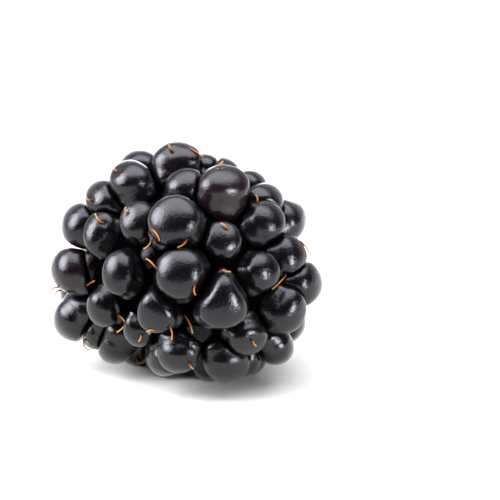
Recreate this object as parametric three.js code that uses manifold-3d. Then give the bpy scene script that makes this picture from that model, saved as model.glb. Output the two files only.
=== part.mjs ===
// A ripe bramble berry as picked, lying on its side on a level surface.
//
// The fruit's axis is X: the tip points to +X, and the stem end, where the pale receptacle shows, faces -X.
// Z is up and the fruit rests on z = 0, its box centred on the origin. Everything is in millimetres.
//
// Two bodies: "drupelets", the dark fruit with every drupelet and its dry styles grown on one core, and
// "receptacle", the pale plug of the stem end. Drupelets sit on the "bed", an ovoid inside the fruit that
// passes through their middles. Those of the fruit's best side are laid out one by one, and the others
// spread themselves evenly over what is left of the bed.

import * as THREE from "three";
import { mergeVertices } from "three/addons/utils/BufferGeometryUtils.js";
import Module from "manifold-3d";

// ---- The fruit's own sizes ----
const LENGTH = 27; // stem end to tip
const WIDTH = 23.6; // across the fruit
const DRUPELET = 4.4; // a usual drupelet's width
const BASE_BLUNTNESS = 2.6; // exponent of the bed's stem half: 2 is an ellipse, more is squarer
const TIP_BLUNTNESS = 2.2;
const SLUMP = 0.19; // how much wider the bed is at its underside, and narrower on top, than at mid height
const BED_LENGTH = LENGTH / 2 - DRUPELET / 2;
const BED_RADIUS = WIDTH / 2 - DRUPELET / 2;
const CORE_DEPTH = 1.0; // the core's surface under the drupelets' middles
const CORE_DETAIL = 3;

// ---- A drupelet's shape ----
const CREASE = 0.12; // width of the crease between two drupelets that press on each other
const DOME = 1.08; // a drupelet's rise above its middle, against half its width
const FLANKS = 0.06; // how much wider its flanks are, low between its neighbours, than it looks from above
const SKIRT = 0.7; // how much wider it spreads towards its root, against the sine of the angle under its middle
const SKIRT_GAP = 1.4; // two drupelets press on each other if the gap between their middles' rims is less
const ROOT = 3.3; // how far a drupelet reaches inwards from its middle
const PRESSED = 16; // how sharply a drupelet turns from its round side to a flat one: higher is sharper
const DRUPELET_GRID = { segments: 10, polar: [30, 58, 86, 116] };

// ---- How it rests ----
const REST_HEIGHT = 11.2; // the fruit's middle above the surface that it lies on
const SAG = { within: 0.6, pressed: 0.16 }; // low drupelets sag on to the surface and are pressed flat

// ---- The best side ----
// It is drawn as it is seen from BEST_SIDE: turned from -Y towards +X, and tilted above the horizon.
// Every drawn point is given as how far it is across and up from the fruit's middle.
const BEST_SIDE = { turn: 40, tilt: 20, distance: 200 };
// Each row: across and up, then the drupelet's width and height.
const DRAWN_DRUPELETS = [
  [3.5, 8.4, 4.1, 4.0], [-0.7, 9.6, 5.4, 3.8], [7.5, 5.6, 4.5, 4.4], [-7.8, 6.1, 4.4, 4.2],
  [-5.3, 7.9, 4.6, 4.3], [0.1, 7.3, 4.1, 3.6], [3.75, 7.15, 5.2, 4.4], [-10.0, 3.7, 4.2, 4.8],
  [-8.3, 2.9, 3.1, 4.6], [-4.6, 4.0, 3.6, 4.1], [-1.0, 3.95, 5.1, 5.0], [3.5, 1.95, 3.8, 3.8],
  [7.7, 3.8, 4.1, 4.4], [9.7, 3.9, 4.7, 4.5], [-11.2, -0.7, 4.1, 4.6], [-6.35, -1.05, 3.6, 4.4],
  [-0.5, -1.15, 4.7, 4.8], [7.3, -1.1, 3.8, 3.9], [9.8, 0.35, 3.9, 4.6], [11.1, -2.3, 4.5, 4.8],
  [-10.9, -5.5, 4.6, 4.7], [-8.1, -4.4, 3.2, 3.9], [-2.9, -4.75, 3.7, 4.3], [3.55, -3.9, 4.3, 5.2],
  [9.7, -4.75, 3.9, 4.9], [-4.7, -6.6, 3.0, 3.6], [5.85, -7.35, 4.2, 3.6], [-7.0, -8.0, 4.4, 3.9],
  [-0.8, -8.9, 4.4, 3.8], [8.6, -8.3, 4.4, 3.9], [-2.0, -9.2, 4.6, 3.5], [3.9, -9.75, 4.9, 4.0],
];
// How much narrower drupelets are at the height of their upper ends, by their place in the drawing.
const TAPERS = { 8: -0.15, 22: 0.3, 23: 0.4, 24: 0.2, 25: 0.3 };
// Drupelets past the drawing's edge, of which only the tops peek over it.
const PEEKING_DRUPELETS = [
  [-4.4, 9.1, 4.4, 4.2], [1.9, 9.3, 2.8, 3.2], [6.4, 7.4, 3.4, 3.4], [9.6, -6.1, 4.2, 4.4],
  [-8.9, -6.9, 3.4, 3.4], [5.6, -9.6, 3.4, 3.6],
];
// Drupelets that grew low between the others, with their middles this far under the bed.
const RECESSED_DRUPELETS = [
  [-9.0, -0.3, 3.2, 4.4], [-3.3, 0.4, 2.4, 2.6], [1.3, -6.4, 3.0, 3.2],
];
const RECESS = 1.8;
// Each row: a style's root, bend and tip, across and up, then how far the bend and tip stand off the skin.
const DRAWN_STYLES = [
  [-1.3, 11.2, -1.6, 11.7, -1.7, 12.2, 0.3, 0.5], [3.5, 9.5, 3.6, 9.8, 3.8, 10.0, 0.3, 0.5],
  [7.15, 5.9, 7.2, 6.3, 7.0, 6.6, 0.3, 0.4], [4.2, 3.25, 3.9, 3.6, 3.5, 3.8, 0.4, 0.5],
  [-8.15, 3.95, -8.7, 4.3, -9.0, 4.9, 0.3, 0.5], [-6.8, 9.1, -7.1, 9.3, -7.4, 9.3, 0.3, 0.5],
  [-5.9, 5.0, -6.0, 5.2, -6.0, 5.5, 0.3, 0.4], [-9.5, 6.2, -9.8, 6.4, -9.9, 6.7, 0.3, 0.4],
  [-3.45, 2.3, -3.7, 1.7, -4.2, 1.35, 0.4, 0.6], [0.1, 2.2, -0.3, 1.7, -0.85, 1.45, 0.4, 0.7],
  [-3.05, -0.55, -3.6, 0.1, -4.0, 0.3, 0.4, 0.6], [0.85, -2.45, 0.75, -2.9, 0.9, -3.3, 0.4, 0.5],
  [-9.85, -2.25, -8.8, -1.8, -8.0, -2.65, 0.6, 0.5], [-12.8, -2.4, -13.3, -2.5, -13.6, -2.9, 0.3, 0.4],
  [-12.7, -2.7, -13.0, -2.9, -13.0, -3.3, 0.3, 0.4], [-6.85, -5.25, -6.2, -6.1, -6.95, -6.95, 0.5, 0.6],
  [-1.7, -6.5, -1.5, -7.1, -1.55, -7.75, 0.5, 0.5], [-0.2, -5.35, 0.3, -6.2, 0.55, -7.15, 0.5, 0.7],
  [3.55, -0.85, 3.95, -1.0, 4.4, -1.05, 0.3, 0.4], [9.95, -1.5, 9.3, -2.2, 8.6, -2.85, 0.5, 0.5],
  [11.6, 1.95, 12.1, 1.2, 12.45, 0.4, 0.4, 0.4], [-10.3, -7.75, -10.2, -8.4, -9.65, -8.7, 0.4, 0.6],
  [-5.05, -9.65, -4.6, -10.1, -4.0, -9.35, 0.4, 0.5], [0.2, -10.2, 0.35, -10.5, 0.6, -10.7, 0.3, 0.4],
  [-4.6, -7.3, -4.65, -7.6, -4.8, -7.9, 0.3, 0.4], [-3.15, -6.85, -3.6, -6.8, -4.0, -6.95, 0.3, 0.4],
  [6.6, -8.0, 6.7, -8.3, 6.9, -8.5, 0.3, 0.4], [-3.45, 3.35, -2.9, 2.8, -2.65, 2.15, 0.2, 0.2],
  [0.45, 11.35, 1.1, 11.0, 1.75, 10.45, 0.2, 0.3],
];

// ---- Drupelets and styles of the sides that the drawing doesn't reach ----
const HIDDEN = { count: 37, size: 4.3, vary: 0.35, facing: -0.36, rounds: 240, seed: 7 };
const UNDERSIDE = { steep: -0.8, facing: -0.14 }; // the fruit's own edge hides more of what is under it
const SPACING = 1.06; // the middles' usual distance, against the mean of two drupelets' sizes
// Small drupelets fill what gaps are left: the least room that one needs, and its size against that room.
const STUNTED = { room: 1.3, most: 6, fit: 2.3, largest: 3.3, trials: 600, facing: 0.1 };
// Styles there grow a little aside from a drupelet's top, lean over and bow, in shares of their lengths.
const HIDDEN_STYLES = { share: 0.7, length: 1.1, vary: 1.0, aside: 0.35, lean: 0.8, bow: 0.125, seed: 23 };
const STYLE = { radius: 0.1, sunk: 0.7, sides: 3, headroom: 0.3, pointed: 0.6 };
const STEEPEST = { inwards: 0.5, outwards: 0.9 }; // a style's rise or fall, against its drawn length

// ---- Stem end ----
// The receptacle is turned on the X axis. Its face and its shank are outlined by how far inside the bed's end
// they are and by radius, from the dimple in the face's middle over the rim to the middle of the inner end.
const RECEPTACLE = {
  radius: 3.4,
  clearance: 0.3,
  overlap: 0.3,
  segments: 24,
  face: [[0.2, 0], [0.05, 0.7], [-0.45, 1.5], [-0.55, 2.3], [-0.25, 3.0]],
  shank: [[0.3, 3.4], [2.1, 3.2], [2.8, 2.6], [3.0, 0]],
};
const STEM_END = new THREE.Vector3(-BED_LENGTH, 0, 0);

const X_AXIS = new THREE.Vector3(1, 0, 0);
const Y_AXIS = new THREE.Vector3(0, 1, 0);
const Z_AXIS = new THREE.Vector3(0, 0, 1);

// A repeatable stream of numbers from 0 to 1.
function seeded(seed) {
  let state = seed;
  return () => {
    state = (Math.imul(state, 1664525) + 1013904223) >>> 0;
    return state / 2 ** 32;
  };
}

// ---- The bed ----

function ovoidLevel(x, y, z) {
  const power = x < 0 ? BASE_BLUNTNESS : TIP_BLUNTNESS;
  const along = Math.abs(x) / BED_LENGTH;
  const around = Math.hypot(y, z) / BED_RADIUS;
  return (along ** power + around ** power) ** (1 / power);
}

// 1 on the bed, less inside it and more outside, in proportion to the distance from the middle. The bed is
// an ovoid that its own weight has slumped.
function bedLevel(p) {
  const height = p.z / (BED_RADIUS * ovoidLevel(p.x, p.y, p.z));
  const spread = 1 - SLUMP * height;
  return ovoidLevel(p.x / spread, p.y / spread, p.z);
}

// p moved straight out from, or in to, the middle until it is lift above the bed.
function ontoBed(p, lift) {
  return p.multiplyScalar((1 + lift / BED_RADIUS) / bedLevel(p));
}

function bedNormal(p) {
  const step = 1e-3;
  const slope = (axis) =>
    bedLevel(p.clone().addScaledVector(axis, step)) - bedLevel(p.clone().addScaledVector(axis, -step));
  return new THREE.Vector3(slope(X_AXIS), slope(Y_AXIS), slope(Z_AXIS)).normalize();
}

// ---- The best side's drawing ----

function bestSideView() {
  const turn = THREE.MathUtils.degToRad(BEST_SIDE.turn);
  const tilt = THREE.MathUtils.degToRad(BEST_SIDE.tilt);
  const back = new THREE.Vector3(
    Math.sin(turn) * Math.cos(tilt),
    -Math.cos(turn) * Math.cos(tilt),
    Math.sin(tilt),
  );
  const across = new THREE.Vector3(Math.cos(turn), Math.sin(turn), 0);
  return { back, across, up: back.clone().cross(across), eye: back.clone().multiplyScalar(BEST_SIDE.distance) };
}

// The point of the line of sight through a drawn point that is ahead of the fruit's middle by ahead.
function sighted(view, across, up, ahead) {
  const target = view.across.clone().multiplyScalar(across).addScaledVector(view.up, up);
  const sight = target.sub(view.eye).normalize();
  return sight.multiplyScalar(BEST_SIDE.distance - ahead).add(view.eye);
}

// Where a line of sight meets the near (1) or far (-1) side of the bed grown by lift, or passes closest to it.
function dropOnBed(view, across, up, lift, side) {
  const stride = 0.05;
  let best = sighted(view, across, up, (side * LENGTH) / 2);
  for (let passed = 0; passed < LENGTH && bedLevel(best) > 1 + lift / BED_RADIUS; passed += stride) {
    const p = sighted(view, across, up, side * (LENGTH / 2 - passed));
    if (bedLevel(p) < bedLevel(best)) best = p;
  }
  return best;
}

// ---- Placing the drupelets ----

const sizeOf = (drupelet) => (drupelet.width + drupelet.height) / 2;
const liftOf = (drupelet) => sizeOf(drupelet) - DRUPELET;

function drawnDrupelets(view) {
  const drawn = (rows, side, recess) => rows.map(([across, up, width, height]) => {
    const drupelet = { width, height, taper: 0, drawn: true };
    drupelet.middle = dropOnBed(view, across, up, recess ? -recess : liftOf(drupelet), side);
    return drupelet;
  });
  const best = drawn(DRAWN_DRUPELETS, 1, 0);
  for (const place in TAPERS) best[place].taper = TAPERS[place];
  return [...best, ...drawn(PEEKING_DRUPELETS, -1, 0), ...drawn(RECESSED_DRUPELETS, 1, RECESS)];
}

// Whether a drupelet at p is out of the drawing's sight, on a side that faces away or on the underside.
function isHidden(p, view) {
  const normal = bedNormal(p);
  return normal.dot(view.back) < (normal.z < UNDERSIDE.steep ? UNDERSIDE.facing : HIDDEN.facing);
}

// Scattered over the sides that the drawing doesn't reach.
function hiddenDrupelets(view) {
  const random = seeded(HIDDEN.seed);
  const hidden = [];
  while (hidden.length < HIDDEN.count) {
    const x = 2 * random() - 1;
    const turn = 2 * Math.PI * random();
    const size = HIDDEN.size + HIDDEN.vary * (2 * random() - 1);
    const around = Math.sqrt(1 - x * x);
    const direction = new THREE.Vector3(x, around * Math.cos(turn), around * Math.sin(turn));
    const drupelet = { width: size, height: size, taper: 0, drawn: false };
    drupelet.middle = ontoBed(direction, liftOf(drupelet));
    if (isHidden(drupelet.middle, view)) hidden.push(drupelet);
  }
  return hidden;
}

// Moves the hidden drupelets apart over the bed, and away from the drawn ones, until all have room.
function spreadOut(drupelets, view) {
  const easing = 0.3;
  const stemRoom = RECEPTACLE.radius + RECEPTACLE.clearance;
  for (let round = 0; round < HIDDEN.rounds; round++) {
    for (const moved of drupelets) {
      if (moved.drawn) continue;
      const push = new THREE.Vector3();
      const away = (from, room) => {
        const apart = moved.middle.clone().sub(from);
        const distance = apart.length();
        if (distance < room) push.addScaledVector(apart, (room - distance) / distance);
      };
      for (const other of drupelets) {
        if (other !== moved) away(other.middle, (SPACING * (sizeOf(moved) + sizeOf(other))) / 2);
      }
      away(STEM_END, stemRoom + sizeOf(moved) / 2);
      const middle = ontoBed(moved.middle.clone().addScaledVector(push, easing), liftOf(moved));
      if (isHidden(middle, view)) moved.middle = middle;
    }
  }
}

// Whether a drupelet leaves the stem's end free, but for a little overlap.
function clearsStem(drupelet) {
  const needed = RECEPTACLE.radius + RECEPTACLE.clearance + sizeOf(drupelet) / 2;
  return drupelet.middle.distanceTo(STEM_END) > needed - RECEPTACLE.overlap;
}

// Puts a small, low drupelet into each hidden gap that has room for one, the widest gap first.
function fillGaps(drupelets, view) {
  const goldenTurn = Math.PI * (3 - Math.sqrt(5));
  const spots = Array.from({ length: STUNTED.trials }, (_, i) => {
    const x = (2 * i + 1) / STUNTED.trials - 1;
    const around = Math.sqrt(1 - x * x);
    return ontoBed(new THREE.Vector3(x, around * Math.cos(goldenTurn * i), around * Math.sin(goldenTurn * i)), 0);
  }).filter((spot) => bedNormal(spot).dot(view.back) < STUNTED.facing);
  const roomAt = (spot) => Math.min(
    spot.distanceTo(STEM_END) - RECEPTACLE.radius - RECEPTACLE.clearance,
    ...drupelets.map((drupelet) => spot.distanceTo(drupelet.middle) - sizeOf(drupelet) / 2),
  );
  for (let added = 0; added < STUNTED.most; added++) {
    const rooms = spots.map(roomAt);
    const widest = Math.max(...rooms);
    if (widest < STUNTED.room) return;
    const size = Math.min(STUNTED.fit * widest, STUNTED.largest);
    const drupelet = { width: size, height: size, taper: 0, drawn: true };
    drupelet.middle = ontoBed(spots[rooms.indexOf(widest)].clone(), liftOf(drupelet));
    drupelets.push(drupelet);
  }
}

// ---- Shaping a drupelet ----

// A drupelet's own directions: out of the fruit, then to its side and rising as the drawing has them. One on
// the edge of the drawing shows its flanks there, so they are already in its drawn size.
function giveDirections(drupelet, view) {
  drupelet.out = bedNormal(drupelet.middle);
  drupelet.side = view.up.clone().cross(drupelet.out).normalize();
  drupelet.rise = drupelet.out.clone().cross(drupelet.side);
  drupelet.flanks = 1 + FLANKS * Math.abs(drupelet.out.dot(view.back));
}

// The radius of the egg, spreading towards its root, that a drupelet would be on its own.
function eggRadius(drupelet, direction) {
  const out = direction.dot(drupelet.out);
  const rise = direction.dot(drupelet.rise);
  const depth = out > 0 ? (DOME * sizeOf(drupelet)) / 2 : ROOT;
  const spread = drupelet.flanks * (1 + SKIRT * Math.max(-out, 0));
  const width = spread * drupelet.width * (1 - drupelet.taper * rise);
  return 1 / Math.hypot(
    direction.dot(drupelet.side) / (width / 2),
    rise / ((spread * drupelet.height) / 2),
    out / depth,
  );
}

// How far the egg reaches below its middle.
function eggDrop(drupelet) {
  return Math.hypot(
    (drupelet.side.z * drupelet.flanks * drupelet.width) / 2,
    (drupelet.rise.z * drupelet.flanks * drupelet.height) / 2,
    (drupelet.out.z * DOME * sizeOf(drupelet)) / 2,
  );
}

// Drupelets that nearly reach the resting surface sag on to it, and those below it are pressed up.
function restOnSurface(drupelets) {
  for (const drupelet of drupelets) {
    const lowest = drupelet.middle.z - eggDrop(drupelet);
    if (lowest < SAG.within - REST_HEIGHT) drupelet.middle.z -= lowest + REST_HEIGHT + SAG.pressed;
  }
}

// The planes that a drupelet shares with the neighbours that press on it: each a direction and a distance.
function pressingPlanes(drupelet, drupelets) {
  const planes = [];
  for (const other of drupelets) {
    if (other === drupelet) continue;
    const direction = other.middle.clone().sub(drupelet.middle);
    const distance = direction.length();
    direction.normalize();
    const own = eggRadius(drupelet, direction);
    const others = eggRadius(other, direction.clone().negate());
    if (own + others + SKIRT_GAP < distance) continue;
    planes.push({ direction, distance: ((distance - CREASE) * own) / (own + others) });
  }
  return planes;
}

// Distance from a drupelet's middle to its skin: the egg, pressed smoothly flat against each plane.
function skinRadius(drupelet, direction) {
  let sum = eggRadius(drupelet, direction) ** -PRESSED;
  for (const plane of drupelet.planes) {
    sum += (Math.max(direction.dot(plane.direction), 0) / plane.distance) ** PRESSED;
  }
  return sum ** (-1 / PRESSED);
}

function grownDrupelets(view) {
  const placed = [...drawnDrupelets(view), ...hiddenDrupelets(view)];
  spreadOut(placed, view);
  const drupelets = placed.filter(clearsStem);
  fillGaps(drupelets, view);
  drupelets.forEach((drupelet) => giveDirections(drupelet, view));
  restOnSurface(drupelets);
  for (const drupelet of drupelets) drupelet.planes = pressingPlanes(drupelet, drupelets);
  return drupelets;
}

// ---- Surfaces ----

// A closed surface from one pole over rings of points to the other. Rings turn left as seen from outside
// the first pole.
function closedSurface(firstPole, rings, lastPole) {
  const segments = rings[0].length;
  const points = [firstPole, ...rings.flat(), lastPole];
  const last = points.length - 1;
  const at = (ring, s) => 1 + ring * segments + (s % segments);
  const faces = [];
  for (let s = 0; s < segments; s++) {
    faces.push(0, at(0, s), at(0, s + 1));
    for (let ring = 1; ring < rings.length; ring++) {
      faces.push(at(ring - 1, s), at(ring, s), at(ring, s + 1));
      faces.push(at(ring - 1, s), at(ring, s + 1), at(ring - 1, s + 1));
    }
    faces.push(at(rings.length - 1, s), last, at(rings.length - 1, s + 1));
  }
  return new THREE.BufferGeometry().setFromPoints(points).setIndex(faces);
}

function ringOf(segments, pointAt) {
  return Array.from({ length: segments }, (_, s) => pointAt((2 * Math.PI * s) / segments));
}

function drupeletGeometry(drupelet) {
  const skinAt = (polar, turn) => {
    const direction = drupelet.out.clone().multiplyScalar(Math.cos(polar))
      .addScaledVector(drupelet.side, Math.sin(polar) * Math.cos(turn))
      .addScaledVector(drupelet.rise, Math.sin(polar) * Math.sin(turn));
    return direction.clone().multiplyScalar(skinRadius(drupelet, direction)).add(drupelet.middle);
  };
  const rings = DRUPELET_GRID.polar.map((polar) =>
    ringOf(DRUPELET_GRID.segments, (turn) => skinAt(THREE.MathUtils.degToRad(polar), turn)));
  return closedSurface(skinAt(0, 0), rings, skinAt(Math.PI, 0));
}

function coreGeometry() {
  const core = new THREE.IcosahedronGeometry(1, CORE_DETAIL);
  const position = core.getAttribute("position");
  const p = new THREE.Vector3();
  for (let i = 0; i < position.count; i++) {
    ontoBed(p.fromBufferAttribute(position, i), -CORE_DEPTH);
    position.setXYZ(i, p.x, p.y, p.z);
  }
  return core;
}

// Turned on the X axis at the stem end.
function turnedGeometry(outline, segments) {
  const rings = outline.slice(1, -1).map(([inside, radius]) => ringOf(segments, (turn) =>
    new THREE.Vector3(STEM_END.x + inside, radius * Math.cos(turn), -radius * Math.sin(turn))));
  const pole = ([inside]) => new THREE.Vector3(STEM_END.x + inside, 0, 0);
  return closedSurface(pole(outline[0]), rings, pole(outline.at(-1)));
}

// ---- Styles ----

// The drupelet that a line of sight meets first, and how far ahead of the fruit's middle it meets it.
function meetSkin(view, drupelets, across, up) {
  const stride = 0.04;
  for (let ahead = LENGTH / 2; ahead > -LENGTH / 2; ahead -= stride) {
    const p = sighted(view, across, up, ahead);
    const met = drupelets.find((drupelet) => {
      const apart = p.clone().sub(drupelet.middle);
      const distance = apart.length();
      return distance < ROOT && distance < skinRadius(drupelet, apart.normalize());
    });
    if (met) return { drupelet: met, ahead };
  }
  return null;
}

// Whether the drawing's viewer sees a point, with nothing in front of it.
function seenFromBestSide(view, drupelets, point) {
  const ahead = BEST_SIDE.distance - point.distanceTo(view.eye);
  const shrink = BEST_SIDE.distance / (BEST_SIDE.distance - point.dot(view.back));
  const met = meetSkin(view, drupelets, shrink * point.dot(view.across), shrink * point.dot(view.up));
  return !met || met.ahead < ahead;
}

// A style's path: its sunk end, then root, bend and tip. A root beside the fruit is drawn in until it meets it,
// and no stretch runs much steeper than the drawing shows.
function drawnStyles(view, drupelets) {
  return DRAWN_STYLES.map(([x0, y0, x1, y1, x2, y2, bendOff, tipOff]) => {
    let inwards = 1;
    let met = meetSkin(view, drupelets, x0, y0);
    while (!met) {
      inwards -= 0.01;
      met = meetSkin(view, drupelets, inwards * x0, inwards * y0);
    }
    const root = sighted(view, inwards * x0, inwards * y0, met.ahead);
    const aheadOf = (across, up, off, last, stretch) => {
      const under = meetSkin(view, drupelets, across, up);
      if (!under) return last;
      const lowest = last - STEEPEST.inwards * stretch;
      return THREE.MathUtils.clamp(under.ahead + off, lowest, last + STEEPEST.outwards * stretch);
    };
    const bendAhead = aheadOf(x1, y1, bendOff, met.ahead, Math.hypot(x1 - x0, y1 - y0));
    const tipAhead = aheadOf(x2, y2, tipOff, bendAhead, Math.hypot(x2 - x1, y2 - y1));
    const bend = sighted(view, x1, y1, bendAhead);
    const tip = sighted(view, x2, y2, tipAhead);
    bend.z = Math.max(bend.z, STYLE.headroom - REST_HEIGHT);
    tip.z = Math.max(tip.z, STYLE.headroom - REST_HEIGHT);
    return { sunk: sunkFrom(root, met.drupelet), root, bend, tip };
  });
}

function sunkFrom(root, drupelet) {
  const inwards = drupelet.middle.clone().sub(root).normalize();
  return root.clone().addScaledVector(inwards, STYLE.sunk);
}

function hiddenStyles(view, drupelets) {
  const random = seeded(HIDDEN_STYLES.seed);
  const styles = [];
  for (const drupelet of drupelets) {
    const has = random() < HIDDEN_STYLES.share;
    const turn = 2 * Math.PI * random();
    const length = HIDDEN_STYLES.length + HIDDEN_STYLES.vary * random();
    const bow = 2 * Math.PI * random();
    if (drupelet.drawn || !has) continue;
    const sideways = drupelet.side.clone().multiplyScalar(Math.cos(turn))
      .addScaledVector(drupelet.rise, Math.sin(turn));
    const bowed = drupelet.side.clone().multiplyScalar(Math.cos(bow))
      .addScaledVector(drupelet.rise, Math.sin(bow));
    const direction = drupelet.out.clone().addScaledVector(sideways, HIDDEN_STYLES.aside).normalize();
    const root = direction.clone().multiplyScalar(skinRadius(drupelet, direction)).add(drupelet.middle);
    const lean = drupelet.out.clone().addScaledVector(sideways, HIDDEN_STYLES.lean).normalize();
    const bend = root.clone().addScaledVector(lean, length / 2).addScaledVector(bowed, HIDDEN_STYLES.bow * length);
    const tip = root.clone().addScaledVector(lean, length);
    const clearOfFloor = Math.min(bend.z, tip.z) > STYLE.headroom - REST_HEIGHT;
    if (clearOfFloor && !seenFromBestSide(view, drupelets, tip)) {
      styles.push({ sunk: sunkFrom(root, drupelet), root, bend, tip });
    }
  }
  return styles;
}

// A thin rod from under the skin over the bend, pointed from there on.
function styleGeometry({ sunk, root, bend, tip }) {
  const path = [tip, bend.clone().lerp(tip, STYLE.pointed), bend, root, sunk];
  const rings = [1, 2, 3].map((i) => {
    const along = path[i - 1].clone().sub(path[i + 1]).normalize();
    const side = along.clone().cross(Math.abs(along.z) < 0.8 ? Z_AXIS : X_AXIS).normalize();
    const other = along.clone().cross(side);
    return ringOf(STYLE.sides, (turn) => path[i].clone()
      .addScaledVector(side, STYLE.radius * Math.cos(turn))
      .addScaledVector(other, STYLE.radius * Math.sin(turn)));
  });
  return closedSurface(path[0], rings, path[4]);
}

// ---- Joining ----

const SAME_POINT = 1e-4;
const SMALLEST_EDGE = 0.004;

const wasm = await Module();
wasm.setup();

function solid(geometry) {
  const bare = new THREE.BufferGeometry().setAttribute("position", geometry.getAttribute("position"));
  bare.setIndex(geometry.index);
  const merged = mergeVertices(bare, SAME_POINT);
  return new wasm.Manifold(new wasm.Mesh({
    numProp: 3,
    vertProperties: merged.getAttribute("position").array,
    triVerts: new Uint32Array(merged.index.array),
  }));
}

function geometryOf(manifold) {
  const mesh = manifold.getMesh();
  return new THREE.BufferGeometry()
    .setAttribute("position", new THREE.BufferAttribute(mesh.vertProperties, 3))
    .setIndex(new THREE.BufferAttribute(mesh.triVerts, 1));
}

// The receptacle's shank grown by its clearance, and open to the outside.
function socketOutline() {
  const { radius, clearance, shank } = RECEPTACLE;
  const outside = -DRUPELET;
  const grown = shank.map(([inside, r]) => [inside + clearance, r > 0 ? r + clearance : 0]);
  return [[outside, 0], [outside, radius + clearance], ...grown];
}

function fruitSolid(drupelets, styles) {
  let fruit = solid(coreGeometry());
  for (const drupelet of drupelets) fruit = fruit.add(solid(drupeletGeometry(drupelet)));
  fruit = fruit.subtract(solid(turnedGeometry(socketOutline(), RECEPTACLE.segments)));
  fruit = fruit.trimByPlane([0, 0, 1], -REST_HEIGHT);
  for (const style of styles) fruit = fruit.add(solid(styleGeometry(style)));
  return fruit.simplify(SMALLEST_EDGE);
}

const view = bestSideView();
const drupelets = grownDrupelets(view);
const styles = [...drawnStyles(view, drupelets), ...hiddenStyles(view, drupelets)];
const fruit = fruitSolid(drupelets, styles);
const receptacle = solid(turnedGeometry([...RECEPTACLE.face, ...RECEPTACLE.shank], RECEPTACLE.segments));

// ---- The part ----

function named(name, manifold, offset, look) {
  const mesh = new THREE.Mesh(geometryOf(manifold.translate(offset)), new THREE.MeshStandardMaterial(look));
  mesh.name = name;
  mesh.material.name = look.name;
  return mesh;
}

const box = fruit.boundingBox();
const offset = [-(box.min[0] + box.max[0]) / 2, -(box.min[1] + box.max[1]) / 2, -box.min[2]];

const berry = new THREE.Group();
berry.name = "bramble_berry";
berry.add(named("drupelets", fruit, offset, { name: "drupelet_skin", color: 0x120c12, roughness: 0.22 }));
berry.add(named("receptacle", receptacle, offset, { name: "receptacle_pith", color: 0xd8d2a8, roughness: 0.8 }));

export default berry;
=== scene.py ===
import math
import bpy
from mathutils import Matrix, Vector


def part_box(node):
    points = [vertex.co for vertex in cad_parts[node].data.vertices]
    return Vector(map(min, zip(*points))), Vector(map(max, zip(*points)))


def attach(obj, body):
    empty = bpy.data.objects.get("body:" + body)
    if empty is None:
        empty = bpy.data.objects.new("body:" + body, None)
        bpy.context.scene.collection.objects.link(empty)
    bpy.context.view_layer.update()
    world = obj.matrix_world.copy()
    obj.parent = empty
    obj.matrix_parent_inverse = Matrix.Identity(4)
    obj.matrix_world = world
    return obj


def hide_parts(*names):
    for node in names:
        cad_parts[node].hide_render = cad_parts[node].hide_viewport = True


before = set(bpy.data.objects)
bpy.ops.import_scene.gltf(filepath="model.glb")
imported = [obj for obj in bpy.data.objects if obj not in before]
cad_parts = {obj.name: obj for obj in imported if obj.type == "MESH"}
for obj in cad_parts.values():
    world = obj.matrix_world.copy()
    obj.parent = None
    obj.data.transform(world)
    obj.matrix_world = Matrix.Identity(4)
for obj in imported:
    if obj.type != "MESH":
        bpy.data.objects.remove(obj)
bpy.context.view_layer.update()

# A ripe bramble berry on a white floor. The fruit's drupelets are placed and shaped by the same rule as in
# the CAD part, in millimetres from the fruit's middle, and are meshed finely here with their dents, dimples
# and dry styles. The finished meshes are in metres, in the frame's own place.

from types import SimpleNamespace

import bpy
import numpy as np
from mathutils import Matrix, Vector, noise

MM = 0.001

# ---- The fruit's own sizes, as in the CAD part ----
LENGTH = 27.0
WIDTH = 23.6
DRUPELET = 4.4  # a usual drupelet's width
BASE_BLUNTNESS = 2.6  # exponent of the bed's stem half: 2 is an ellipse, more is squarer
TIP_BLUNTNESS = 2.2
SLUMP = 0.19  # how much wider the bed is at its underside, and narrower on top, than at mid height
BED_LENGTH = LENGTH / 2 - DRUPELET / 2
BED_RADIUS = WIDTH / 2 - DRUPELET / 2
CORE_DEPTH = 1.0  # the core's surface under the drupelets' middles

# ---- A drupelet's shape, as in the CAD part ----
CREASE = 0.12  # width of the crease between two drupelets that press on each other
DOME = 1.08  # a drupelet's rise above its middle, against half its width
FLANKS = 0.06  # how much wider its flanks are, low between its neighbours, than it looks from above
SKIRT = 0.7  # how much wider it spreads towards its root, against the sine of the angle under its middle
SKIRT_GAP = 1.4  # two drupelets press on each other if the gap between their middles' rims is less
ROOT = 3.3  # how far a drupelet reaches inwards from its middle
PRESSED = 16  # how sharply a drupelet turns from its round side to a flat one: higher is sharper

# ---- How it rests, as in the CAD part ----
REST_HEIGHT = 11.2  # the fruit's middle above the surface that it lies on
SAG_WITHIN = 0.6  # drupelets this close to the surface sag on to it
SAG_PRESSED = 0.16  # and are pressed flat this far

# ---- The best side, as in the CAD part ----
# It is drawn as the camera sees it: turned from -Y towards +X, and tilted above the horizon.
TURN = math.radians(40)
TILT = math.radians(20)
DISTANCE = 200.0
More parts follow.
